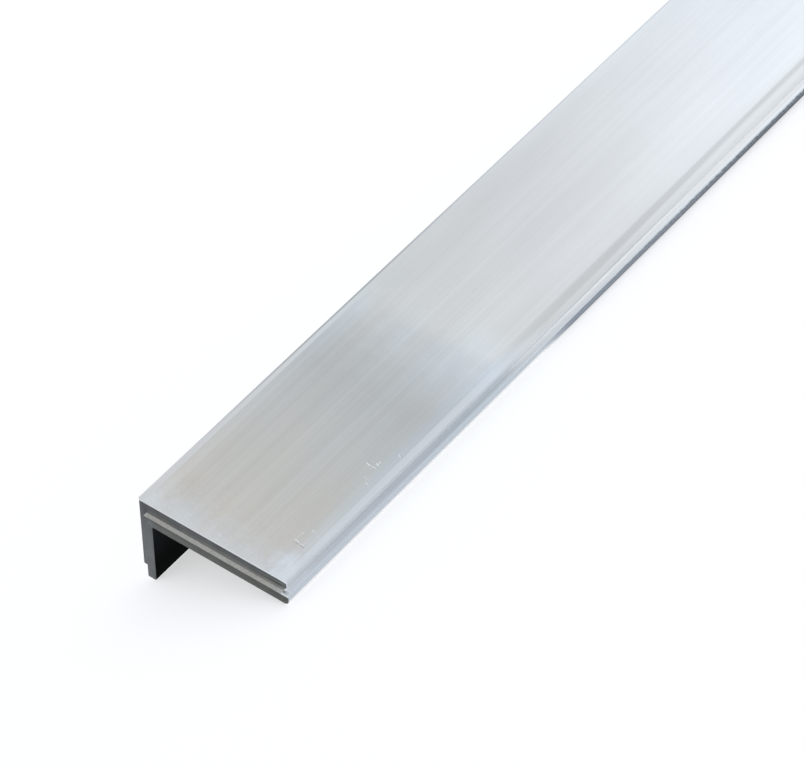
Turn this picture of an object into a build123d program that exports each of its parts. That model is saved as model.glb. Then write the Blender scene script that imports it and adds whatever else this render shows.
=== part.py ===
"""Aluminium angle profile of stepped section: an outer layer of plate and leg over a thinner inner one."""

import os
from math import asin, atan2, cos, degrees, hypot, radians, sin

from build123d import *

# Overall sizes, in millimetres
length = 500.0
flange_width = 50.0
height = 27.4

# Walls of the section: plate and leg of the outer layer, then of the inner layer under it
top_plate = 3.4
skin = 3.2
lower_plate = 2.8
leg_wall = 2.8

# The inner layer stands out past the outer one: at the flange's edge, at the foot and at the near end
ledge = 1.6
foot = 2.4
set_back = 1.4

# The plate's edge stands square for part of its height and is cut back below
toe_side = 1.6
toe_undercut = 1.1

# Roundings of the section's corners
plate_edge_radius = 0.5
toe_radius = 0.4
lip_radius = 0.7
foot_radius = 0.4
skin_end_radius = 1.0
root_radius = 0.5
corner_radius = 0.25

# A rounding takes up less than this share of the wall that it is on
wall_share = 0.45

# Levels below the top face, and reaches from the leg's outer face
underside = -top_plate - lower_plate
skin_end = foot - height
leg_inner = skin + leg_wall
lip_reach = flange_width + ledge

plate_rounding = min(plate_edge_radius, wall_share * toe_side)
toe_rounding = min(toe_radius, wall_share * toe_side, wall_share * toe_undercut)
lip_rounding = min(lip_radius, lower_plate - wall_share * lower_plate)
foot_rounding = min(foot_radius, wall_share * leg_wall, wall_share * foot)
skin_end_rounding = min(skin_end_radius, wall_share * skin)
step_rounding = min(corner_radius, wall_share * ledge, wall_share * lower_plate / 2)

# Corners of the inner layer with their roundings, in order round it, with the top face level
inner_edges = [
    ((lip_reach, -top_plate), step_rounding),
    ((lip_reach, underside), lip_rounding),
    ((leg_inner, underside), root_radius),
    ((leg_inner, -height), foot_rounding),
    ((skin, -height), foot_rounding),
]
inner_corners = [((skin, -top_plate), corner_radius)] + inner_edges

# Corners of the whole section: the inner layer's free edges, then round the outer layer
corners = inner_edges + [
    ((skin, skin_end), corner_radius),
    ((0, skin_end), skin_end_rounding),
    ((0, 0), corner_radius),
    ((flange_width, 0), plate_rounding),
    ((flange_width, -toe_side), toe_rounding),
    ((flange_width - toe_undercut, -top_plate), step_rounding),
]

# The profile lies on its foot's inner corner and its lip's lower corner: the line that touches
# both roundings is the floor, and the section leans by that line's slope
run = (lip_reach - lip_rounding) - (leg_inner - foot_rounding)
rise = (underside + lip_rounding) - (foot_rounding - height)
lean = degrees(atan2(rise, run) - asin((lip_rounding - foot_rounding) / hypot(run, rise)))
across = Vector(cos(radians(lean)), 0, -sin(radians(lean)))
front = Vector(0, -1, 0)


def outline(corner_list, plane):
    """The closed outline through a list of corners, each with its rounding, as a face on a plane."""
    with BuildSketch(plane) as face:
        with BuildLine():
            FilletPolyline(
                *[point for point, _ in corner_list],
                radius=[rounding for _, rounding in corner_list],
                close=True,
            )
        make_face()
    return face.sketch


# The origin is under the middle of the profile, on the floor
extent = outline(corners, Plane((0, 0, 0), x_dir=across, z_dir=front)).bounding_box()
seat = (-extent.center().X, length / 2, -extent.min.Z)
far_end = Plane(seat, x_dir=across, z_dir=front)

# Both layers start at the far end, and the outer one ends short of the near end
with BuildPart() as profile:
    extrude(outline(inner_corners, far_end), amount=length)
    extrude(outline(corners, far_end), amount=length - set_back)
profile.part.label = "profile"

os.makedirs("parts", exist_ok=True)
export_step(profile.part, "parts/profile.step")
print(f"lean {lean:.4f} degrees, top left corner of the section at {seat[0]:.4f}, {seat[2]:.4f} mm")
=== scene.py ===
"""A length of mill-finish aluminium angle profile with a stepped section, seen over its sawn near end."""

from math import asin, atan2, cos, hypot, radians, sin, tan

import bmesh
import bpy
from mathutils import Matrix, Vector


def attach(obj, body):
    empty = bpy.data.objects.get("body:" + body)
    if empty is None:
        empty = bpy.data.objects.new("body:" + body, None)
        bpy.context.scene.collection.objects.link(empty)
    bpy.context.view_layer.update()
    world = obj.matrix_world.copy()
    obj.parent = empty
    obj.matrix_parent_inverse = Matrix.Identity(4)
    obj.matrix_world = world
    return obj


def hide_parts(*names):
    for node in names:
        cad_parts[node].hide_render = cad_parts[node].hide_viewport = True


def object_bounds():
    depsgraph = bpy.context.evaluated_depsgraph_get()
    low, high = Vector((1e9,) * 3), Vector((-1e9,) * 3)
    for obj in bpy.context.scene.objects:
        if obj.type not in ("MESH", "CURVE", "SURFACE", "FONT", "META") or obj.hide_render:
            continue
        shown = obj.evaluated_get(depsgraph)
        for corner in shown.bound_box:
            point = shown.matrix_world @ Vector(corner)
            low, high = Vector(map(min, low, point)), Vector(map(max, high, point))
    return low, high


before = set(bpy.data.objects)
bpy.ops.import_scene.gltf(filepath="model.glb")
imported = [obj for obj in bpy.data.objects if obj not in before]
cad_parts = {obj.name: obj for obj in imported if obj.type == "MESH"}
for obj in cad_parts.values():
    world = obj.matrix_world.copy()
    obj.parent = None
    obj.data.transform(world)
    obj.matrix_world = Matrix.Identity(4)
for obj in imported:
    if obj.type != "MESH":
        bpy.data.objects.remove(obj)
cad_low, cad_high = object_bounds()

MM = 0.001

# Sizes of the section, in millimetres, with the top face level and the leg's outer face at x = 0
LENGTH = 500.0
FLANGE = 50.0
HEIGHT = 27.4
TOP_PLATE = 3.4
SKIN = 3.2
LOWER_PLATE = 2.8
LEG_WALL = 2.8
LEDGE = 1.6
FOOT = 2.4
SET_BACK = 1.4
TOE_SIDE = 1.6
TOE_UNDERCUT = 1.1
UNDERSIDE = -TOP_PLATE - LOWER_PLATE
LEG_INNER = SKIN + LEG_WALL
LIP = FLANGE + LEDGE
SKIN_END = FOOT - HEIGHT
TOE_FOOT = FLANGE - TOE_UNDERCUT

# Roundings of the section
LIP_RADIUS = 0.7
FOOT_RADIUS = 0.4
SKIN_END_RADIUS = 1.05
EDGE_RADIUS = 0.2
LEDGE_RADIUS = 0.3
TOE_RADIUS = 0.3
ROOT_RADIUS = 0.5
ARC_STEPS = 6

# Broken edges of the sawn ends: the outer layer's reach along at the near end, its depth at both ends,
# the inner layer's, and the leg's filed near edge
EDGE_BACK = 0.42
EDGE_DEPTH = 0.08
FINE_BROKEN_EDGE = 0.06
FILED_EDGE = 0.85

# The lip's lower corner is worn rounder at the near end: its rounding there, and how far the wear reaches
WORN_LIP_RADIUS = 1.5
LIP_WEAR = 4.0

# Narrow facets along both edges of the top face: where they start, and how far they fall
LEFT_FACET = 1.9
RIGHT_FACET = 47.8
FACET_FALL = 0.14

# Lean of the section on the floor: the line that touches the foot's and the lip's roundings
FLOOR_RUN = (LIP - LIP_RADIUS) - (LEG_INNER - FOOT_RADIUS)
FLOOR_RISE = (UNDERSIDE + LIP_RADIUS) - (FOOT_RADIUS - HEIGHT)
LEAN = atan2(FLOOR_RISE, FLOOR_RUN) - asin((LIP_RADIUS - FOOT_RADIUS) / hypot(FLOOR_RUN, FLOOR_RISE))
ACROSS = Vector((cos(LEAN), 0, -sin(LEAN)))
UP = Vector((sin(LEAN), 0, cos(LEAN)))

# The skin: its rings along the length, the slack in comparing places, the decimals that weld points,
# and the angle from which an edge stays sharp
RING_STEP = 50.0
SLACK = 0.01
WELD_DECIMALS = 4
SHARP_ANGLE = radians(20)

# A shorter run has no direction, and an inset corner moves by no more than the depth over this cosine
SHORTEST_RUN = 1e-9
LEAST_COSINE = 0.5

# Finishes, in the order of the piece's material slots
TOP, HIGHLIGHT_EDGE, PLATE_EDGE, LEDGE_TOP, BARE_END, SAWN, INSIDE, LIP_SIDE, PLAIN = range(9)


# Section

def rounded(before, corner, after, radius):
    """Points of the arc that rounds a corner of the section, from one straight run to the next."""
    corner = Vector(corner)
    back = (Vector(before) - corner).normalized()
    on = (Vector(after) - corner).normalized()
    half = back.angle(on) / 2
    centre = corner + (back + on).normalized() * (radius / sin(half))
    start = corner + back * (radius / tan(half)) - centre
    end = corner + on * (radius / tan(half)) - centre
    turn = start.angle_signed(end)
    return [
        tuple(centre + Matrix.Rotation(-turn * step / ARC_STEPS, 2) @ start)
        for step in range(ARC_STEPS + 1)
    ]


def path(points):
    """Points along a run of (place, radius) corners; its two ends stay as they are."""
    made = [points[0][0]]
    for (before, _), (corner, radius), (after, _) in zip(points, points[1:], points[2:]):
        made += rounded(before, corner, after, radius) if radius else [corner]
    return made + [points[-1][0]]


def free_path(lip_radius=LIP_RADIUS):
    """The inner layer's open faces: ledge, lip, underside, leg and foot."""
    return path([
        ((TOE_FOOT, -TOP_PLATE), 0),
        ((LIP, -TOP_PLATE), LEDGE_RADIUS),
        ((LIP, UNDERSIDE), lip_radius),
        ((LEG_INNER, UNDERSIDE), ROOT_RADIUS),
        ((LEG_INNER, -HEIGHT), FOOT_RADIUS),
        ((SKIN, -HEIGHT), FOOT_RADIUS),
        ((SKIN, SKIN_END), 0),
    ])


def outer_path():
    """The outer layer's open faces: end of the skin, leg, top with its two facets and the plate's edge."""
    return path([
        ((SKIN, SKIN_END), 0),
        ((0, SKIN_END), SKIN_END_RADIUS),
        ((0, -FACET_FALL), EDGE_RADIUS),
        ((LEFT_FACET, 0), 0),
        ((RIGHT_FACET, 0), 0),
        ((FLANGE, -FACET_FALL), EDGE_RADIUS),
        ((FLANGE, -TOE_SIDE), TOE_RADIUS),
        ((TOE_FOOT, -TOP_PLATE), 0),
    ])


def hidden_path():
    """The inner layer's faces that only its bare near end shows: its leg's outside, then its plate's top."""
    return [
        (SKIN, SKIN_END),
        (SKIN, SKIN_END + EDGE_DEPTH),
        (SKIN, -TOP_PLATE),
        (TOE_FOOT - EDGE_DEPTH, -TOP_PLATE),
        (TOE_FOOT, -TOP_PLATE),
    ]


def inset(points, depth):
    """A closed run of points moved into the metal by a depth, square to the run."""
    made = []
    for i, point in enumerate(points):
        normals = []
        for a, b in ((i - 1, i), (i, (i + 1) % len(points))):
            run = Vector(points[b]) - Vector(points[a])
            if run.length > SHORTEST_RUN:
                normals.append(Vector((run.y, -run.x)).normalized())
        mean = sum(normals, Vector((0, 0))).normalized()
        cosine = max(LEAST_COSINE, mean.dot(normals[0]))
        made.append(tuple(Vector(point) + mean * (depth / cosine)))
    return made


def at(points, along):
    """Points of the section put at a distance along the profile."""
    return [(x, along, z) for x, z in points]


def free_at(along):
    """The inner layer's open faces at a distance along, with the lip's wear."""
    wear = max(0.0, 1.0 - along / LIP_WEAR)
    return at(free_path(LIP_RADIUS + (WORN_LIP_RADIUS - LIP_RADIUS) * wear), along)


# Skin

class Skin:
    """A welded mesh in section places (across, along, up), turned onto the floor when it is done."""

    def __init__(self):
        self.mesh = bmesh.new()
        self.known = {}

    def vert(self, place):
        key = tuple(round(value, WELD_DECIMALS) for value in place)
        if key not in self.known:
            self.known[key] = self.mesh.verts.new(place)
        return self.known[key]

    def face(self, places, material):
        corners = list(dict.fromkeys(self.vert(place) for place in places))
        if len(corners) > 2:
            made = self.mesh.faces.new(corners)
            made.material_index = material
            made.smooth = True

    def strip(self, first, second, finish, closed=False):
        count = len(first)
        for i in range(count if closed else count - 1):
            j = (i + 1) % count
            middle = (Vector(first[i]) + Vector(first[j])) / 2
            self.face([first[i], first[j], second[j], second[i]], finish(middle.x, middle.z))

    def sweep(self, rings, finish):
        for first, second in zip(rings, rings[1:]):
            self.strip(first, second, finish)

    def crease(self, angle):
        """Marks the edges that aren't shaded as one smooth face: sharp ones, and the facets' inner edges."""
        for edge in self.mesh.edges:
            on_facet = all(
                v.co.z > -SLACK and min(abs(v.co.x - LEFT_FACET), abs(v.co.x - RIGHT_FACET)) < SLACK
                for v in edge.verts
            )
            edge.smooth = not on_facet and edge.calc_face_angle(0.0) < angle


def face_finish(x, z):
    """The finish of a face of the section, by the middle of its run."""
    if x > TOE_FOOT and abs(z + TOP_PLATE) < SLACK:
        return LEDGE_TOP
    if x > LIP - WORN_LIP_RADIUS and UNDERSIDE < z < -TOP_PLATE:
        return LIP_SIDE
    if x >= LEG_INNER - SLACK and z <= UNDERSIDE + SLACK:
        return INSIDE
    if x > TOE_FOOT and z < -FACET_FALL:
        return PLATE_EDGE
    return TOP if z > -2 * FACET_FALL else PLAIN


def bare_finish(x, z):
    return BARE_END


def sawn_finish(x, z):
    return SAWN


def front_finish(x, z):
    """The finish of the outer layer's broken near edge: a painted highlight along the top."""
    return HIGHLIGHT_EDGE if z > -FACET_FALL - EDGE_DEPTH else face_finish(x, z)


def front_of(points):
    """Where the outer layer's open faces start behind its sawn near end: further back on the leg."""
    made = [(x, SET_BACK + max(EDGE_BACK, FILED_EDGE - x), z) for x, z in points[1:-1]]
    return at(points[:1], SET_BACK + EDGE_BACK) + made + at(points[-1:], SET_BACK + EDGE_BACK)


def inner_near_end(skin, hidden):
    """The inner layer's bare near end with its sawn face."""
    skin.sweep([at(hidden, FINE_BROKEN_EDGE), at(hidden, SET_BACK)], bare_finish)
    ring = free_at(FINE_BROKEN_EDGE)[:-1] + at(hidden[:-1], FINE_BROKEN_EDGE)
    end = at(inset([(x, z) for x, _, z in ring], FINE_BROKEN_EDGE), 0.0)
    # On the sawn face the hidden points lie on straight edges, so only the hidden corner is kept
    corner = end[-2]
    hidden_count = len(hidden) - 1
    end = [corner] + end[1:-hidden_count] + [corner] * hidden_count
    skin.strip(ring, end, sawn_finish, closed=True)
    skin.face(end, SAWN)


def filed(points):
    """Points of the outer layer's sawn face, with the leg's outer edge filed off between two corners."""
    levels = [z for x, z in points if x < FILED_EDGE]
    low, high = min(levels), max(levels)
    return [
        (x, z) if x >= FILED_EDGE else (FILED_EDGE, high if z > (low + high) / 2 else low)
        for x, z in points
    ]


def outer_near_end(skin, ring, start, hidden):
    """The outer layer's sawn near face, set back from the inner one's."""
    foot, foot_inset, corner, toe_inset, toe = at(hidden, SET_BACK)
    open_count = len(start) - 2
    outline = filed(inset(ring, EDGE_DEPTH)[-open_count:])
    end = [foot_inset] + at(outline, SET_BACK) + [toe_inset]
    skin.strip(start, end, front_finish)
    skin.face([foot, start[0], foot_inset], BARE_END)
    skin.face([toe, start[-1], toe_inset], BARE_END)
    skin.face(end + [corner], SAWN)


def far_end(skin, ring, along):
    """The square sawn far end, with its broken edge."""
    end = at(inset(ring, EDGE_DEPTH), LENGTH)
    skin.strip(at(ring, along), end, face_finish, closed=True)
    skin.face(end, SAWN)


def profile_mesh():
    """The closed skin of the profile: both layers, their step at the near end and broken sawn edges."""
    skin = Skin()
    free, outer, hidden = free_path(), outer_path(), hidden_path()
    ring = free[:-1] + outer[:-1]
    ring_count = int(LENGTH / RING_STEP)
    runs = [LIP_WEAR] + [RING_STEP * step for step in range(1, ring_count)] + [LENGTH - EDGE_DEPTH]
    starts = [FINE_BROKEN_EDGE, SET_BACK, SET_BACK + EDGE_BACK]
    skin.sweep([free_at(along) for along in starts + runs], face_finish)
    start = front_of(outer)
    skin.sweep([start] + [at(outer, along) for along in runs], face_finish)
    inner_near_end(skin, hidden)
    outer_near_end(skin, ring, start, hidden)
    far_end(skin, ring, runs[-1])
    skin.crease(SHARP_ANGLE)
    return skin.mesh


def seat_of_section():
    """Place of the section's top left corner with the leaning section on the floor, in millimetres."""
    leaning = [ACROSS * x + UP * z for x, z in free_path() + outer_path()]
    low_x = min(place.x for place in leaning)
    high_x = max(place.x for place in leaning)
    low_z = min(place.z for place in leaning)
    return Vector((-(low_x + high_x) / 2, cad_low.y / MM, -low_z))


SEAT = seat_of_section()


def make_profile(materials):
    """The piece that is shown: the skin laid on the floor, with its finishes."""
    mesh = profile_mesh()
    bmesh.ops.rotate(mesh, verts=mesh.verts, cent=(0, 0, 0), matrix=Matrix.Rotation(LEAN, 3, "Y"))
    bmesh.ops.translate(mesh, verts=mesh.verts, vec=SEAT)
    bmesh.ops.scale(mesh, verts=mesh.verts, vec=(MM, MM, MM))
    bmesh.ops.recalc_face_normals(mesh, faces=mesh.faces)
    data = bpy.data.meshes.new("profile_skin")
    mesh.to_mesh(data)
    mesh.free()
    for material in materials:
        data.materials.append(material)
    piece = bpy.data.objects.new("profile_skin", data)
    bpy.context.scene.collection.objects.link(piece)
    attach(piece, "root")
    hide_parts("profile")


# Materials

class Graph:
    """A material's node tree, with short calls for the nodes used here. Lengths in it are in millimetres."""

    def __init__(self, name):
        self.material = bpy.data.materials.new(name)
        self.material.use_nodes = True
        self.tree = self.material.node_tree
        self.tree.nodes.clear()
        self.output = self.tree.nodes.new("ShaderNodeOutputMaterial")
        place = self.node("ShaderNodeTexCoord").outputs["Object"]
        self.across = self.measured(place, ACROSS)
        self.along = self.measured(place, Vector((0, 1, 0)))
        self.up = self.measured(place, UP)

    def node(self, kind, inputs=(), **settings):
        made = self.tree.nodes.new(kind)
        for name, value in settings.items():
            setattr(made, name, value)
        for key, value in dict(inputs).items():
            self.put(value, made.inputs[key])
        return made

    def put(self, value, socket):
        if isinstance(value, bpy.types.NodeSocket):
            self.tree.links.new(value, socket)
        else:
            socket.default_value = value

    def math(self, operation, first, second=0.0):
        return self.node("ShaderNodeMath", {0: first, 1: second}, operation=operation).outputs[0]

    def add(self, first, second):
        return self.math("ADD", first, second)

    def less(self, first, second):
        return self.math("SUBTRACT", first, second)

    def over(self, first, second):
        return self.math("DIVIDE", first, second)

    def product(self, *values):
        made = values[0]
        for value in values[1:]:
            made = self.math("MULTIPLY", made, value)
        return made

    def measured(self, place, direction):
        """Distance of a place from the section's top left corner, along a direction."""
        dot = self.node("ShaderNodeVectorMath", {0: place, 1: direction}, operation="DOT_PRODUCT")
        return self.less(self.over(dot.outputs["Value"], MM), SEAT.dot(direction))

    def streaks(self, width, length, detail=3.0):
        """Noise with grains of a width, drawn out along the profile to a length."""
        across = self.over(self.across, width)
        along = self.over(self.along, length)
        return self.noise(across, along, self.over(self.up, width), detail)

    def noise(self, x, y, z, detail):
        place = self.node("ShaderNodeCombineXYZ", {0: x, 1: y, 2: z}).outputs[0]
        return self.node("ShaderNodeTexNoise", {"Vector": place, "Scale": 1.0, "Detail": detail}).outputs[0]

    def between(self, value, low, high, out_low=0.0, out_high=1.0, smooth=False):
        """A value's way from low to high, as a number from out_low to out_high."""
        made = self.node(
            "ShaderNodeMapRange",
            {"Value": value, "From Min": low, "From Max": high, "To Min": out_low, "To Max": out_high},
            interpolation_type="SMOOTHSTEP" if smooth else "LINEAR",
        )
        return made.outputs[0]

    def within(self, value, rise, fall):
        """1 between two edges of a value and 0 outside; each edge is the places where it is 0 and 1."""
        return self.product(self.between(value, *rise), self.between(value, *fall))

    def mix(self, share, first, second, blend="MIX"):
        made = self.node("ShaderNodeMix", data_type="RGBA", blend_type=blend)
        for index, value in ((0, share), (6, first), (7, second)):
            self.put(value, made.inputs[index])
        return made.outputs[2]

    def times(self, first, second):
        return self.mix(1.0, first, second, blend="MULTIPLY")

    def tint(self, colour, mean):
        """A colour over a mean colour, to multiply another colour by."""
        return self.mix(1.0, colour, mean, blend="DIVIDE")

    def ramp(self, value, stops):
        """Colours given at places of a value, from the first to the last."""
        first, last = stops[0][0], stops[-1][0]
        made = self.node("ShaderNodeValToRGB", {"Fac": self.between(value, first, last)})
        elements = made.color_ramp.elements
        while len(elements) < len(stops):
            elements.new(1.0)
        for element, (place, colour) in zip(elements, stops):
            element.position = (place - first) / (last - first)
            element.color = (*colour, 1)
        return made.outputs[0]

    def grey(self, value):
        return self.node("ShaderNodeCombineColor", {0: value, 1: value, 2: value}).outputs[0]

    def shade(self, colour, roughness, height, depth, metallic=1.0, specular=0.5):
        """The finished material, with relief of a depth by the height."""
        bump = self.node("ShaderNodeBump", {"Strength": 1.0, "Distance": depth * MM, "Height": height})
        shader = self.node(
            "ShaderNodeBsdfPrincipled",
            {
                "Base Color": colour,
                "Metallic": metallic,
                "Roughness": roughness,
                "Specular IOR Level": specular,
                "Normal": bump.outputs[0],
            },
        )
        self.tree.links.new(shader.outputs[0], self.output.inputs["Surface"])
        return self.material


METAL = (0.80, 0.805, 0.81, 1)
WHITE = (1, 1, 1, 1)

# Limits of a noise's value that take in most of it, and closer ones for more contrast
NOISE_WIDE = (0.3, 0.7)
NOISE_CLOSE = (0.35, 0.65)

# Where the top face's dull film and its painted dim reflection give way to bright metal, along
FILM_AND_REFLECTION_FADE = (92.0, 106.0)

# Dull film on the near part of the top face, with painted dim reflection darkest around 68 mm: colours at
# places along
DIM_FILM_AND_REFLECTION = [
    (1.0, (0.86, 0.85, 0.835)),
    (4.0, (0.845, 0.815, 0.79)),
    (8.0, (0.815, 0.775, 0.73)),
    (12.0, (0.80, 0.745, 0.685)),
    (28.0, (0.76, 0.725, 0.675)),
    (46.0, (0.73, 0.712, 0.685)),
    (68.0, (0.663, 0.66, 0.66)),
    (78.0, (0.69, 0.695, 0.705)),
    (90.0, (0.77, 0.785, 0.81)),
    (100.0, (0.86, 0.865, 0.865)),
]

# Tint of the film from the left edge to the right: cool beside both edges
FILM_ACROSS = [
    (2.0, (0.95, 0.965, 0.98)),
    (5.0, (0.94, 0.945, 0.95)),
    (8.0, (0.90, 0.895, 0.89)),
    (22.0, (0.905, 0.905, 0.90)),
    (43.0, (0.90, 0.898, 0.90)),
    (46.5, (0.91, 0.95, 1.0)),
]
FILM_ACROSS_MEAN = (0.905, 0.905, 0.905, 1)

# Tints of the film's patches, and of a warmer patch beside the near left corner
WARM_FILM = (1.0, 0.985, 0.96, 1)
COOL_FILM = (0.985, 1.0, 1.0, 1)
WARM_PATCH = (0.97, 0.955, 0.935, 1)

# Metal clear of the film: along the left margin, along the right one, and in the near right corner
CLEAN_LEFT = [
    (15.0, (0.89, 0.865, 0.82)),
    (50.0, (0.89, 0.88, 0.87)),
    (80.0, (0.86, 0.88, 0.885)),
]
CLEAN_RIGHT = [
    (15.0, (0.845, 0.84, 0.835)),
    (50.0, (0.82, 0.835, 0.85)),
    (80.0, (0.82, 0.845, 0.885)),
]
CLEAN_CORNER = (0.93, 0.94, 0.955, 1)

# Bright metal beyond the film: tone from the left edge to the right
BRIGHT_ACROSS = [
    (0.0, (0.835, 0.84, 0.84)),
    (9.0, (0.83, 0.83, 0.83)),
    (22.0, (0.867, 0.867, 0.867)),
    (29.0, (0.885, 0.885, 0.885)),
    (36.0, (0.915, 0.915, 0.915)),
    (45.5, (0.905, 0.905, 0.905)),
    (48.0, (0.86, 0.86, 0.855)),
    (49.1, (0.85, 0.85, 0.84)),
    (49.6, (0.81, 0.81, 0.80)),
]

# Warm tint of its far right edge
FAR_EDGE_TINT = (0.965, 0.955, 0.93, 1)

# Cool tint across the film's end, from right of the middle to the right edge
COOL_ACROSS = [
    (43.5, (1.045, 1.075, 1.105)),
    (45.0, (1.025, 1.025, 1.03)),
    (47.2, (1.025, 1.025, 1.03)),
    (48.0, (1.06, 1.085, 1.11)),
]

# Nicks and scratches of the top face, painted white as their glint: across, along, turn in degrees, half
# length, half width, strength
NICKS = [
    (41.7, 47.1, -9, 0.95, 0.24, 1.0),
    (43.4, 47.1, 8, 0.85, 0.20, 0.75),
    (43.6, 48.5, -28, 0.65, 0.45, 0.8),
    (43.7, 49.4, -29, 0.45, 0.28, 0.65),
    (46.4, 54.4, -27, 0.8, 0.20, 0.8),
    (43.9, 42.8, -17, 0.8, 0.16, 0.5),
    (45.5, 41.4, -20, 0.65, 0.22, 0.6),
    (43.2, 14.6, -13, 1.1, 0.34, 0.7),
    (45.0, 14.3, -13, 0.65, 0.24, 0.7),
    (42.6, 17.5, 80, 0.6, 0.45, 0.45),
    (42.5, 16.2, -89, 0.7, 0.32, 0.25),
    (44.4, 19.8, -13, 0.65, 0.38, 0.45),
    (25.7, 4.3, -18, 0.6, 0.18, 0.7),
]

# Painted shadows beside some of them, in the same terms
NICK_SHADOWS = [
    (43.5, 14.05, -12, 0.7, 0.18, 0.55),
    (45.3, 13.85, -9, 0.9, 0.18, 0.55),
    (41.5, 47.8, -9, 0.7, 0.16, 0.3),
    (46.9, 54.6, -27, 0.7, 0.16, 0.3),
]
NICK_SHADOW_COLOUR = (0.22, 0.22, 0.22, 1)

# A nick shows fully within these shares of its half width and half length
NICK_CORE = 0.3
NICK_BODY = 0.6

# Darker grains of the near edge's painted highlight, and the dark and pale ones of the bare near end
HIGHLIGHT_EDGE_GRAINS = (0.94, 0.94, 0.94, 1)
DARK_GRAINS = (0.76, 0.76, 0.76, 1)
PALE_GRAINS = (1.04, 1.04, 1.04, 1)

# The plate's edge: mean of its painted light up the edge, and how far below the top face a painted line of
# shade runs on it
PLATE_EDGE_MEAN = (0.88, 0.875, 0.86, 1)
PLATE_EDGE_LINE = 1.15

# The ledge's near end, painted lighter
LEDGE_END_LIGHT = (0.92, 0.91, 0.90, 1)

# Sawn ends: their two greys, painted dark as shade, painted light on the plate's tip, and a tint of the near
# lower plate
SAWN_DARK = (0.115, 0.125, 0.13, 1)
SAWN_PALE = (0.16, 0.165, 0.165, 1)
TIP_LIGHT = (1.4, 1.45, 1.5, 1)
LOWER_TINT = (0.84, 0.82, 0.75, 1)

# Painted light and shade on the sawn upper plate at heights below the top face, and their mean
SAWN_UPPER = [
    (-3.4, (0.98, 0.94, 0.86)),
    (-2.4, (0.82, 0.79, 0.74)),
    (-1.8, (0.62, 0.60, 0.57)),
    (-0.6, (0.64, 0.63, 0.62)),
    (-0.3, (0.46, 0.45, 0.45)),
]
SAWN_UPPER_MEAN = (0.59, 0.585, 0.58, 1)

# Blade marks of the sawn ends: slant, width, length and share of the tone
BLADE_SLANT = 0.6
BLADE_WIDTH = 0.35
BLADE_LENGTH = 5.0
BLADE_SHARE = 0.4

# Dark clouds in the painted shade of the angle's inside
INSIDE_CLOUDS = (0.5, 0.5, 0.5, 1)

# Dark specks in the lip's painted dark reflection
SPECK_COLOUR = (0.03, 0.033, 0.04, 1)


def swing(graph, noise, limits=NOISE_CLOSE):
    """A noise's value as a swing from -1 to 1."""
    return graph.between(noise, *limits, -1.0, 1.0)


def die_lines(graph, fine, broad):
    """Fine and broad lines along the length, as a grey to multiply a colour by."""
    thin = graph.product(swing(graph, graph.streaks(0.35, 160.0)), fine)
    wide = graph.product(swing(graph, graph.streaks(2.6, 260.0, 2.0)), broad)
    return graph.grey(graph.add(graph.add(thin, wide), 1.0))


def nick_mask(graph, across, along, turn, half_length, half_width, strength):
    """How strongly a short scratch shows at a place of the top face."""
    dx = graph.less(graph.across, across)
    ds = graph.less(graph.along, along)
    c, s = cos(radians(turn)), sin(radians(turn))
    on = graph.math("ABSOLUTE", graph.add(graph.product(dx, c), graph.product(ds, s)))
    off = graph.math("ABSOLUTE", graph.less(graph.product(ds, c), graph.product(dx, s)))
    near_line = graph.between(off, half_width, half_width * NICK_CORE, smooth=True)
    in_length = graph.between(on, half_length, half_length * NICK_BODY)
    return graph.product(near_line, in_length, strength)


def all_marks(graph, marks):
    """How strongly any mark of a list shows."""
    mask = nick_mask(graph, *marks[0])
    for mark in marks[1:]:
        mask = graph.math("MAXIMUM", nick_mask(graph, *mark), mask)
    return mask


def warm_patch(graph, s):
    """A warmer, dimmer patch of the film beside the near left corner."""
    across = graph.within(graph.across, (4.0, 6.0), (13.0, 8.0))
    along = graph.within(s, (4.5, 7.0), (17.0, 11.0))
    return graph.mix(graph.product(across, along), WHITE, WARM_PATCH)


def clean_corner(graph, s):
    """How clear of the film the near right corner is, and the right margin a little further along."""
    clouds = graph.product(swing(graph, graph.streaks(4.0, 5.0)), 2.0)
    across = graph.between(graph.add(graph.across, clouds), 39.5, 46.5, smooth=True)
    along = graph.between(s, 14.0, 5.0, smooth=True)
    in_margin = graph.between(graph.across, 44.6, 46.2)
    margin_fade = graph.between(s, 32.0, 14.0, 0.0, 0.33)
    clean = graph.math("MAXIMUM", graph.product(across, along), graph.product(in_margin, margin_fade))
    at_edge = graph.between(graph.across, 49.6, 49.0, 0.3, 1.0)
    return graph.product(clean, at_edge)


def film_and_reflection_colour(graph):
    """The near part's dull film with painted dim reflection: warm and patchy, cool beside the edges, clean
    at margins and a corner.
    """
    wander = graph.product(swing(graph, graph.streaks(6.0, 8.0, 2.0)), 2.0)
    left_lag = graph.between(graph.across, 26.0, 6.0, 0.0, 2.0)
    s = graph.less(graph.add(graph.along, wander), left_lag)
    patches = graph.between(graph.streaks(9.0, 70.0, 2.0), *NOISE_CLOSE)
    # The film's warm stain, with a painted dim reflection that is darkest around 68 mm along
    film_and_reflection = graph.times(graph.ramp(s, DIM_FILM_AND_REFLECTION), graph.mix(patches, WARM_FILM, COOL_FILM))
    film_and_reflection = graph.times(film_and_reflection, graph.tint(graph.ramp(graph.across, FILM_ACROSS), FILM_ACROSS_MEAN))
    film_and_reflection = graph.times(film_and_reflection, warm_patch(graph, s))
    to_right = graph.between(graph.across, 4.0, 44.0)
    clean = graph.mix(to_right, graph.ramp(graph.along, CLEAN_LEFT), graph.ramp(graph.along, CLEAN_RIGHT))
    corner = clean_corner(graph, s)
    clean = graph.mix(corner, clean, CLEAN_CORNER)
    inside_margins = graph.within(graph.across, (1.75, 2.35), (47.9, 47.4))
    cover = graph.product(inside_margins, graph.less(1.0, corner))
    return graph.mix(cover, clean, film_and_reflection)


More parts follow.
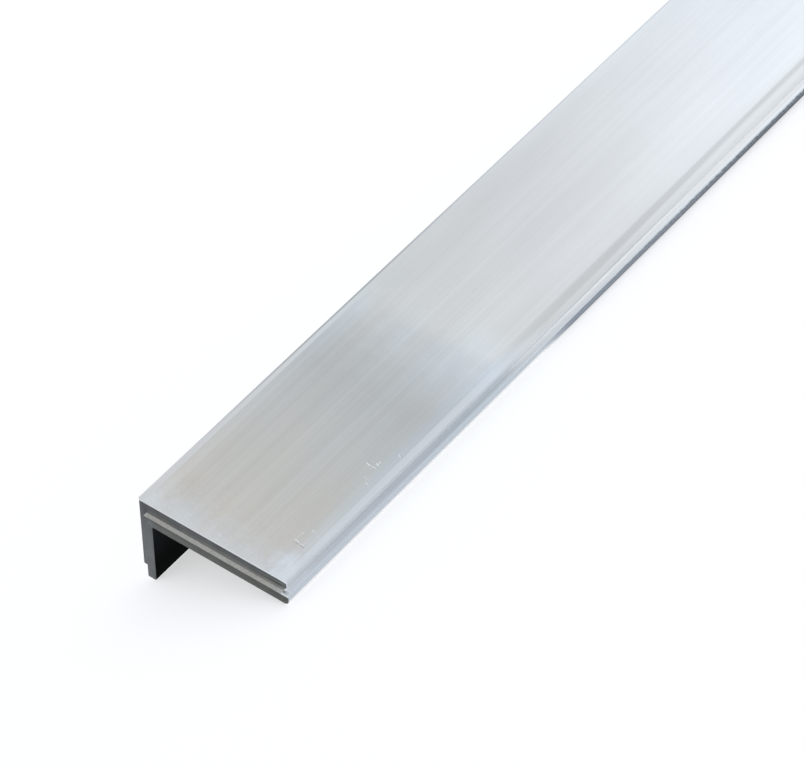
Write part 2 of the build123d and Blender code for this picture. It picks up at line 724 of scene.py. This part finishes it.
def dim_line(graph):
    """How much a painted dim reflection beside the right edge dims the bright metal: it drifts inwards
    further along.
    """
    start = graph.between(graph.across, 45.3, 46.2)
    right_side = graph.between(graph.along, 140.0, 215.0, 48.5, 47.3)
    end = graph.between(graph.less(graph.across, right_side), 0.7, -0.7, smooth=True)
    first_depth = graph.between(graph.along, 108.0, 132.0, 0.075, 0.14)
    more_depth = graph.between(graph.along, 132.0, 215.0, 0.0, 0.06)
    return graph.product(start, end, graph.add(first_depth, more_depth))


def bright_colour(graph):
    """The bright metal beyond the film, with faint clouds, a soft painted dim reflection and a warm far
    right edge.
    """
    clouds = graph.product(swing(graph, graph.streaks(11.0, 45.0, 2.0)), 0.018)
    tone = graph.less(graph.add(clouds, 1.0), dim_line(graph))
    colour = graph.times(graph.ramp(graph.across, BRIGHT_ACROSS), graph.grey(tone))
    at_edge = graph.between(graph.across, 44.0, 46.0)
    far = graph.between(graph.along, 205.0, 255.0)
    return graph.times(colour, graph.mix(graph.product(at_edge, far), WHITE, FAR_EDGE_TINT))


def cool_patch(graph):
    """Where the top face is cooler: across the film's end, right of the middle and along the right edge."""
    right_lag = graph.between(graph.across, 44.0, 48.0, 0.0, 9.0)
    along = graph.within(graph.less(graph.along, right_lag), (72.0, 84.0), (108.0, 98.0))
    across = graph.between(graph.across, 31.0, 36.0)
    return graph.mix(graph.product(along, across), WHITE, graph.ramp(graph.across, COOL_ACROSS))


def left_edge_tone(graph):
    """The dim line along the left edge, strongest in the middle of the near part."""
    rise = graph.between(graph.along, 12.0, 75.0, smooth=True)
    fade = graph.between(graph.along, 160.0, 95.0, 0.35, 1.0, smooth=True)
    at_edge = graph.between(graph.across, 0.9, 0.2, 0.0, 0.45)
    return graph.grey(graph.less(1.0, graph.product(rise, fade, at_edge)))


def top_lines(graph):
    """The top face's die lines: soft at the sawn end, clearest on the film, fainter beyond."""
    fine = graph.between(graph.along, 60.0, 180.0, 0.023, 0.010)
    fine_near = graph.between(graph.along, 4.0, 28.0, 0.3, 1.0)
    broad = graph.between(graph.along, 60.0, 120.0, 0.027, 0.012)
    broad_near = graph.between(graph.along, 2.0, 14.0, 0.4, 1.0)
    return die_lines(graph, graph.product(fine, fine_near), graph.product(broad, broad_near))


def near_mottle(graph):
    """Small faint clouds of the top face beside the sawn end."""
    depth = graph.between(graph.along, 30.0, 6.0, 0.0, 0.018)
    clouds = graph.product(swing(graph, graph.streaks(0.9, 1.2)), depth)
    return graph.grey(graph.add(clouds, 1.0))


def top_material():
    """Bright drawn metal with die lines, a dull film with painted dim reflection on the near part, and nicks
    with painted glints and shadows.
    """
    graph = Graph("mill_top")
    wander = graph.product(swing(graph, graph.streaks(3.0, 40.0, 2.0), NOISE_WIDE), 3.0)
    beyond = graph.between(graph.add(graph.along, wander), *FILM_AND_REFLECTION_FADE, smooth=True)
    colour = graph.mix(beyond, film_and_reflection_colour(graph), bright_colour(graph))
    for tone in (cool_patch(graph), left_edge_tone(graph), top_lines(graph), near_mottle(graph)):
        colour = graph.times(colour, tone)
    nicks = all_marks(graph, NICKS)
    # Painted shadows darken the metal beside some nicks
    colour = graph.mix(all_marks(graph, NICK_SHADOWS), colour, NICK_SHADOW_COLOUR)
    # The nicks are real marks; their white colour is a painted glint
    colour = graph.mix(nicks, colour, WHITE)
    brushed = graph.between(graph.streaks(0.4, 120.0), *NOISE_WIDE, 0.20, 0.22)
    roughness = graph.add(brushed, graph.product(nicks, 0.3))
    return graph.shade(colour, roughness, nicks, depth=0.02)


def highlight_edge_material():
    """The broken near edge of the top face, painted bright as a highlight."""
    graph = Graph("highlight_edge")
    grains = graph.streaks(0.7, 0.7)
    # Painted highlight: brighter than the metal, a little warmer towards the left
    edge_highlight_tone = graph.ramp(graph.across, [
        (0.0, (0.95, 0.92, 0.89)),
        (30.0, (0.95, 0.92, 0.90)),
        (48.0, (1.0, 1.0, 1.0)),
    ])
    colour = graph.times(edge_highlight_tone, graph.mix(grains, HIGHLIGHT_EDGE_GRAINS, WHITE))
    roughness = graph.between(grains, *NOISE_WIDE, 0.25, 0.35)
    return graph.shade(colour, roughness, grains, depth=0.001)


def plate_edge_material():
    """The plate's edge, with painted light and shade: dim in the near part, brighter beyond, with a painted
    line of shade on part of it.
    """
    graph = Graph("mill_plate_edge")
    # Painted reflection: dim in the near part, brighter further along
    colour = graph.ramp(graph.along, [
        (0.0, (0.62, 0.645, 0.665)),
        (20.0, (0.60, 0.625, 0.65)),
        (75.0, (0.595, 0.63, 0.665)),
        (92.0, (0.63, 0.665, 0.70)),
        (108.0, (0.745, 0.76, 0.775)),
        (150.0, (0.725, 0.74, 0.755)),
        (180.0, (0.785, 0.81, 0.82)),
        (215.0, (0.825, 0.84, 0.845)),
    ])
    # Painted light: paler towards the foot of the edge
    foot = graph.ramp(graph.up, [
        (-1.6, (1.0, 1.0, 1.0)),
        (-1.0, (0.93, 0.93, 0.925)),
        (-0.6, (0.895, 0.89, 0.88)),
        (-0.2, (0.86, 0.86, 0.855)),
    ])
    colour = graph.times(colour, graph.tint(foot, PLATE_EDGE_MEAN))
    # A painted line of shade part way along the edge
    off_line = graph.math("ABSOLUTE", graph.add(graph.up, PLATE_EDGE_LINE))
    reach = graph.within(graph.along, (112.0, 130.0), (200.0, 150.0))
    line = graph.product(graph.between(off_line, 0.22, 0.08), reach)
    colour = graph.times(colour, graph.grey(graph.between(line, 0.0, 1.0, 1.0, 0.82)))
    colour = graph.times(colour, die_lines(graph, fine=0.02, broad=0.02))
    lines = graph.streaks(0.4, 90.0)
    roughness = graph.between(lines, *NOISE_WIDE, 0.3, 0.4)
    return graph.shade(colour, roughness, lines, depth=0.0006)


def near_ledge(graph):
    """The ledge's near part, with painted light and shade: dim beside the plate's edge, bright on the rim
    and at the sawn end.
    """
    near = graph.ramp(graph.across, [
        (48.9, (0.59, 0.625, 0.67)),
        (50.2, (0.655, 0.69, 0.735)),
        (51.1, (0.815, 0.855, 0.895)),
        (51.5, (0.88, 0.93, 0.97)),
    ])
    # Painted shade: the ledge dims further along the near part
    dimming = graph.ramp(graph.along, [
        (9.0, (1.08, 1.07, 1.065)),
        (15.0, (0.985, 0.97, 0.97)),
        (50.0, (0.865, 0.87, 0.875)),
        (75.0, (0.80, 0.815, 0.82)),
        (92.0, (0.82, 0.84, 0.84)),
    ])
    on_rim = graph.between(graph.across, 50.5, 51.2)
    near = graph.mix(on_rim, graph.times(near, dimming), near)
    # Painted light beside the toe, growing further along
    toe_light = graph.ramp(graph.along, [
        (25.0, (1.0, 1.0, 1.0)),
        (50.0, (1.09, 1.09, 1.10)),
        (78.0, (1.09, 1.10, 1.12)),
        (92.0, (1.21, 1.21, 1.22)),
    ])
    by_toe = graph.between(graph.across, 49.9, 49.2)
    near = graph.times(near, graph.mix(by_toe, WHITE, toe_light))
    # Painted light at the sawn end
    at_end = graph.between(graph.along, 2.6, 1.0)
    return graph.mix(at_end, near, LEDGE_END_LIGHT)


def far_ledge(graph):
    """The ledge's far part, painted with light and reflection in three strips: beside the plate's edge, the
    open part and the rim.
    """
    by_toe = graph.ramp(graph.along, [
        (108.0, (0.82, 0.845, 0.86)),
        (140.0, (0.95, 0.985, 0.985)),
        (180.0, (0.98, 1.0, 1.0)),
    ])
    open_part = graph.ramp(graph.along, [
        (108.0, (0.735, 0.755, 0.77)),
        (140.0, (0.81, 0.82, 0.835)),
        (180.0, (0.915, 0.925, 0.935)),
        (215.0, (0.98, 0.985, 0.99)),
    ])
    rim = graph.ramp(graph.along, [
        (108.0, (0.91, 0.93, 0.945)),
        (140.0, (0.86, 0.87, 0.885)),
        (180.0, (0.87, 0.88, 0.885)),
        (215.0, (0.86, 0.865, 0.87)),
    ])
    past_toe = graph.between(graph.across, 49.5, 50.3)
    on_rim = graph.between(graph.across, 50.8, 51.2)
    return graph.mix(on_rim, graph.mix(past_toe, by_toe, open_part), rim)


def ledge_material():
    """The ledge, with painted light and shade: dim beside the plate's edge in the near part, bright beyond.
    """
    graph = Graph("mill_ledge")
    beyond = graph.between(graph.along, 94.0, 108.0, smooth=True)
    colour = graph.mix(beyond, near_ledge(graph), far_ledge(graph))
    colour = graph.times(colour, die_lines(graph, fine=0.02, broad=0.02))
    lines = graph.streaks(0.4, 12.0)
    roughness = graph.between(lines, *NOISE_WIDE, 0.28, 0.36)
    return graph.shade(colour, roughness, lines, depth=0.0006)


def bare_end_material():
    """The inner layer's bare near end: dull, rough and warm, with painted light towards both sides and
    painted shade at its front edge.
    """
    graph = Graph("dull_bare_end")
    grains = graph.streaks(0.6, 0.35)
    # Painted light: paler towards both sides
    across = graph.ramp(graph.across, [
        (4.0, (0.78, 0.745, 0.68)),
        (15.0, (0.72, 0.685, 0.625)),
        (33.0, (0.64, 0.61, 0.55)),
        (45.0, (0.63, 0.60, 0.54)),
        (49.0, (0.74, 0.725, 0.69)),
    ])
    grain_tone = graph.mix(graph.between(grains, *NOISE_WIDE), DARK_GRAINS, PALE_GRAINS)
    # Painted shade along the front edge
    front_edge = graph.between(graph.along, 0.12, 0.35, 0.97, 1.0)
    colour = graph.times(graph.times(across, grain_tone), graph.grey(front_edge))
    return graph.shade(colour, 0.6, grains, depth=0.01, metallic=0.2)


def sawn_material():
    """Sawn ends with blade marks, painted dull dark grey as their shade: paler at the plate's foot, darker
    on the near lower plate.
    """
    graph = Graph("sawn_end")
    slant = graph.add(graph.across, graph.product(graph.up, BLADE_SLANT))
    marks = graph.noise(graph.over(slant, BLADE_WIDTH), graph.over(graph.up, BLADE_LENGTH), 0.0, 3.0)
    patches = graph.streaks(3.0, 3.0, 2.0)
    tone = graph.add(graph.product(marks, BLADE_SHARE), graph.product(patches, 1.0 - BLADE_SHARE))
    # Painted shade: the sawn ends are coloured dark grey
    colour = graph.mix(graph.between(tone, *NOISE_CLOSE), SAWN_DARK, SAWN_PALE)
    above_step = graph.between(graph.up, -3.5, -3.4)
    beside_leg = graph.between(graph.across, 3.2, 4.0)
    # Painted light: the upper plate's end paler towards its foot, darker at its top edge
    upper = graph.tint(graph.ramp(graph.up, SAWN_UPPER), SAWN_UPPER_MEAN)
    colour = graph.times(colour, graph.mix(graph.product(beside_leg, above_step), WHITE, upper))
    # Painted light on the plate's tip beside the toe
    by_toe = graph.between(graph.across, 46.5, 48.8)
    at_foot = graph.between(graph.up, -2.0, -3.0)
    tip = graph.product(by_toe, at_foot, above_step)
    colour = graph.times(colour, graph.mix(tip, WHITE, TIP_LIGHT))
    past_leg = graph.between(graph.across, 5.5, 8.0)
    below_step = graph.between(graph.up, -3.4, -3.5)
    near_end = graph.between(graph.along, 0.8, 0.6)
    lower = graph.product(past_leg, below_step, near_end)
    colour = graph.times(colour, graph.mix(lower, WHITE, LOWER_TINT))
    roughness = graph.between(marks, *NOISE_WIDE, 0.42, 0.52)
    return graph.shade(colour, roughness, marks, depth=0.004)


def inside_material():
    """The angle's inside, painted near black as its shade, darkest low on the leg."""
    graph = Graph("inside_painted_shade")
    # Painted shade: near black, darkest low on the leg
    tone = graph.ramp(graph.up, [
        (-27.4, (0.007, 0.008, 0.008)),
        (-22.0, (0.002, 0.003, 0.003)),
        (-17.0, (0.010, 0.013, 0.0135)),
        (-11.0, (0.022, 0.028, 0.029)),
        (-6.2, (0.032, 0.038, 0.039)),
    ])
    clouds = graph.streaks(4.0, 6.0, 2.0)
    colour = graph.times(tone, graph.mix(clouds, INSIDE_CLOUDS, WHITE))
    return graph.shade(colour, 0.6, clouds, depth=0.002, metallic=0.0, specular=0.01)


def dark_reflection_colour(graph):
    """Mottled painted dark reflection, darker further along and on the lower rounding."""
    dark = graph.ramp(graph.up, [
        (-6.2, (0.36, 0.385, 0.42)),
        (-5.6, (0.40, 0.43, 0.48)),
        (-5.0, (0.45, 0.49, 0.56)),
        (-4.4, (0.46, 0.505, 0.57)),
        (-3.6, (0.40, 0.435, 0.48)),
    ])
    along = graph.ramp(graph.along, [
        (130.0, (1.0, 1.0, 1.0)),
        (180.0, (0.88, 0.87, 0.86)),
        (215.0, (0.66, 0.66, 0.66)),
        (300.0, (0.60, 0.60, 0.60)),
    ])
    rounding = graph.between(graph.up, -5.2, -5.6)
    rounding_reach = graph.between(graph.along, 145.0, 175.0)
    low = graph.product(rounding, rounding_reach)
    along = graph.times(along, graph.grey(graph.between(low, 0.0, 1.0, 1.0, 0.45)))
    spread = graph.between(graph.along, 140.0, 185.0, 0.06, 0.22)
    mottle = graph.product(swing(graph, graph.streaks(0.5, 0.8)), spread)
    dark_reflection = graph.times(graph.times(dark, along), graph.grey(graph.add(mottle, 0.95)))
    upper = graph.between(graph.up, -4.7, -4.2)
    speck_reach = graph.between(graph.along, 145.0, 185.0)
    specks = graph.between(graph.streaks(0.4, 0.65), 0.58, 0.64)
    return graph.mix(graph.product(specks, upper, speck_reach), dark_reflection, SPECK_COLOUR)


def lip_material():
    """The inner layer's side face: plain metal near the sawn end, painted dim on its flat and pale on its
    rounding, then a painted dark reflection that is ragged on top.
    """
    graph = Graph("lip_side")
    # Painted light and shade near the sawn end: dim flat, pale lower rounding
    clean = graph.ramp(graph.up, [
        (-5.0, (0.93, 0.94, 0.95)),
        (-4.6, (0.55, 0.585, 0.63)),
        (-3.4, (0.60, 0.645, 0.695)),
    ])
    reach = graph.between(graph.along, 145.0, 190.0, 0.05, 0.7)
    ragged = graph.product(swing(graph, graph.streaks(0.4, 0.7), NOISE_WIDE), reach)
    below = graph.between(graph.add(graph.up, ragged), -3.4, -3.55)
    # Painted dark reflection further along, dull and rough
    beyond = graph.between(graph.along, 110.0, 128.0, smooth=True)
    dark_reflection = graph.product(beyond, below)
    colour = graph.mix(dark_reflection, clean, dark_reflection_colour(graph))
    roughness = graph.between(dark_reflection, 0.0, 1.0, 0.35, 0.65)
    metallic = graph.between(dark_reflection, 0.0, 1.0, 1.0, 0.1)
    lines = graph.streaks(0.4, 25.0)
    return graph.shade(colour, roughness, lines, depth=0.001, metallic=metallic, specular=0.15)


def plain_material():
    """Bright drawn metal with die lines, for the leg and the foot."""
    graph = Graph("mill_plain")
    colour = graph.times(METAL, die_lines(graph, fine=0.025, broad=0.025))
    lines = graph.streaks(0.4, 120.0)
    roughness = graph.between(lines, *NOISE_WIDE, 0.2, 0.27)
    return graph.shade(colour, roughness, lines, depth=0.0006)


# Stage

FLOOR_SIZE = 80.0
FLOOR_COLOUR = (0.92, 0.92, 0.92, 1)
SEEN_FLOOR_COLOUR = (0.62, 0.62, 0.62, 1)
FLOOR_LIFT = 0.56
WORLD_COLOUR = (0.75, 0.76, 0.78, 1)
CEILING_HEIGHT = 0.6
CEILING_SIZE = (1.8, 2.4)
CEILING_MIDDLE = (0.0, 0.25)

# The soft light overhead, by row Y in metres: dimmer towards the near end, brighter and cooler beyond
CEILING_LIGHT = [
    (0.15, (0.67, 0.72, 0.78)),
    (0.25, (0.73, 0.76, 0.76)),
    (0.29, (0.71, 0.73, 0.75)),
    (0.32, (0.69, 0.72, 0.77)),
    (0.35, (0.74, 0.77, 0.80)),
    (0.385, (0.84, 0.87, 0.91)),
    (0.415, (0.88, 0.93, 0.985)),
    (0.48, (0.955, 1.02, 1.09)),
    (0.58, (0.955, 1.02, 1.09)),
    (0.88, (0.80, 0.845, 0.89)),
]


def plane(name, size_x, size_y, place, material):
    """A level sheet of the stage, around a place."""
    data = bpy.data.meshes.new(name)
    x, y = size_x / 2, size_y / 2
    data.from_pydata([(-x, -y, 0), (x, -y, 0), (x, y, 0), (-x, y, 0)], [], [(0, 1, 2, 3)])
    data.materials.append(material)
    made = bpy.data.objects.new(name, data)
    made.location = place
    bpy.context.scene.collection.objects.link(made)
    return made


def floor_material():
    """Pale floor that keeps the shadow and is lifted to white where it is looked at or mirrored."""
    graph = Graph("pale_floor")
    seen = graph.node("ShaderNodeLightPath").outputs
    looked_at = graph.math("MAXIMUM", seen["Is Camera Ray"], seen["Is Glossy Ray"])
    looked_at = graph.math("MAXIMUM", looked_at, seen["Is Transmission Ray"])
    pale = graph.mix(looked_at, FLOOR_COLOUR, SEEN_FLOOR_COLOUR)
    diffuse = graph.node("ShaderNodeBsdfDiffuse", {"Color": pale})
    lift = graph.node("ShaderNodeEmission", {"Strength": graph.product(looked_at, FLOOR_LIFT)})
    both = graph.node("ShaderNodeAddShader", {0: diffuse.outputs[0], 1: lift.outputs[0]})
    graph.tree.links.new(both.outputs[0], graph.output.inputs["Surface"])
    return graph.material


def ceiling_material():
    """The soft light overhead, by its row along the profile."""
    graph = Graph("soft_ceiling")
    place = graph.node("ShaderNodeTexCoord").outputs["Object"]
    along = graph.node("ShaderNodeSeparateXYZ", {"Vector": place}).outputs[1]
    colour = graph.ramp(graph.add(along, CEILING_MIDDLE[1]), CEILING_LIGHT)
    light = graph.node("ShaderNodeEmission", {"Color": colour, "Strength": 1.0})
    graph.tree.links.new(light.outputs[0], graph.output.inputs["Surface"])
    return graph.material


def make_stage():
    plane("floor", FLOOR_SIZE, FLOOR_SIZE, (0, 0, 0), floor_material())
    ceiling = plane("soft_ceiling", *CEILING_SIZE, (*CEILING_MIDDLE, CEILING_HEIGHT), ceiling_material())
    ceiling.visible_camera = False
    world = bpy.data.worlds.new("studio")
    world.use_nodes = True
    world.node_tree.nodes["Background"].inputs["Color"].default_value = WORLD_COLOUR
    bpy.context.scene.world = world


# Camera

CAMERA_PLACE = (0.79392, -0.79417, 0.55332)
CAMERA_AIM = (-0.00980, -0.15802, 0.0)
CAMERA_ROLL = -23.3821
CAMERA_LENS = 189.175
SENSOR_WIDTH = 36.0
CLIP_END = 200.0


def make_camera():
    data = bpy.data.cameras.new("camera")
    data.lens = CAMERA_LENS
    data.sensor_width = SENSOR_WIDTH
    data.clip_end = CLIP_END
    camera = bpy.data.objects.new("camera", data)
    forward = Vector(CAMERA_AIM) - Vector(CAMERA_PLACE)
    level = forward.to_track_quat("-Z", "Y").to_matrix()
    roll = Matrix.Rotation(radians(CAMERA_ROLL), 3, "Z")
    camera.matrix_world = Matrix.Translation(CAMERA_PLACE) @ (level @ roll).to_4x4()
    bpy.context.scene.collection.objects.link(camera)
    bpy.context.scene.camera = camera


bpy.context.scene.view_settings.view_transform = "Standard"
make_profile([
    top_material(),
    highlight_edge_material(),
    plate_edge_material(),
    ledge_material(),
    bare_end_material(),
    sawn_material(),
    inside_material(),
    lip_material(),
    plain_material(),
])
make_stage()
make_camera()
